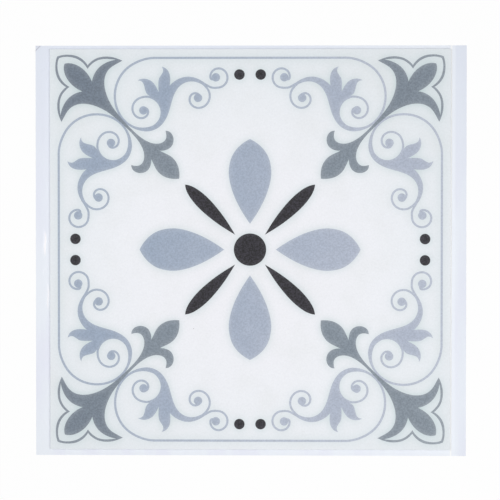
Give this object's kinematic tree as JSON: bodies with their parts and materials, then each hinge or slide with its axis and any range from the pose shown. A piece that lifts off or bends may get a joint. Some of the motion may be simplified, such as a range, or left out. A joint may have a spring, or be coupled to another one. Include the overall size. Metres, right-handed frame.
{
  "type": "vinyl floor tile",
  "caption": "Square self-adhesive vinyl floor tile with a printed lily and scroll pattern, face up on a slightly larger release paper.",
  "frame": {"origin": "under the middle of the tile, on the underside of the release paper, which lies on the floor", "axes": "+Z up out of the printed face; +X to the right and +Y up as the face is looked at in the picture"},
  "size_m": [0.328, 0.3124, 0.0017],
  "materials": {
    "release_paper": "gloss",
    "vinyl_white": "satin",
    "ink_slate": "satin",
    "ink_blue_grey": "satin",
    "ink_black": "satin"
  },
  "bodies": {
    "root": {"release_paper": "release_paper", "vinyl_tile": "vinyl_white", "print_slate": "ink_slate", "print_blue_grey": "ink_blue_grey", "print_black": "ink_black"}
  },
  "joints": []
}
